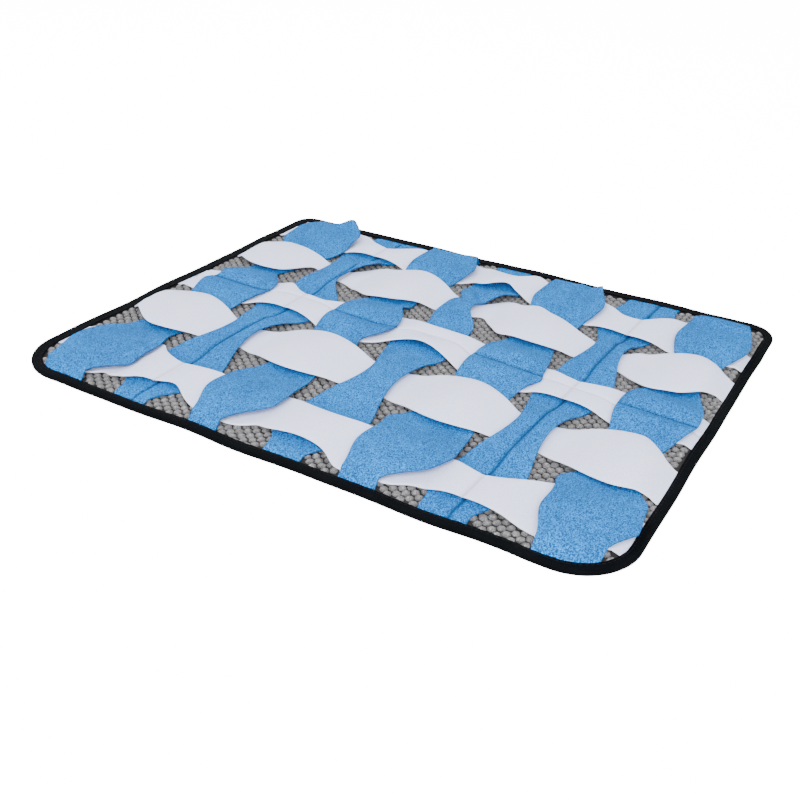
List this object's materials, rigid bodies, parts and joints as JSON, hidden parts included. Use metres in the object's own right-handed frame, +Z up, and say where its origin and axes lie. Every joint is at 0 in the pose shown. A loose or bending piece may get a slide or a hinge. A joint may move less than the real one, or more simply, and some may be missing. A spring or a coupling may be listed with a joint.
{
  "type": "snuffle mat",
  "caption": "Rectangular pet snuffle mat: wavy fleece strips woven over and under each other on a bobble-plush panel, with a folded tape binding, forming pockets for hiding treats.",
  "frame": {"origin": "middle of the underside, on the floor", "axes": "+X along the front long edge, to the right; +Y from the front edge to the back one; +Z up"},
  "size_m": [0.6022, 0.484, 0.0259],
  "materials": {
    "bobble_plush": "matte bobble pile",
    "binding_tape": "matte woven tape",
    "blue_fleece": "matte short pile fleece",
    "white_fleece": "matte short pile fleece"
  },
  "bodies": {
    "root": {"base_panel": "bobble_plush", "edge_binding": "binding_tape", "blue_strip_1": "blue_fleece", "blue_strip_2": "blue_fleece", "blue_strip_3": "blue_fleece", "blue_strip_4": "blue_fleece", "blue_strip_5": "blue_fleece", "blue_strip_6": "blue_fleece", "blue_strip_7": "blue_fleece", "white_strip_1": "white_fleece", "white_strip_2": "white_fleece", "white_strip_3": "white_fleece", "white_strip_4": "white_fleece", "white_strip_5": "white_fleece"}
  },
  "joints": []
}
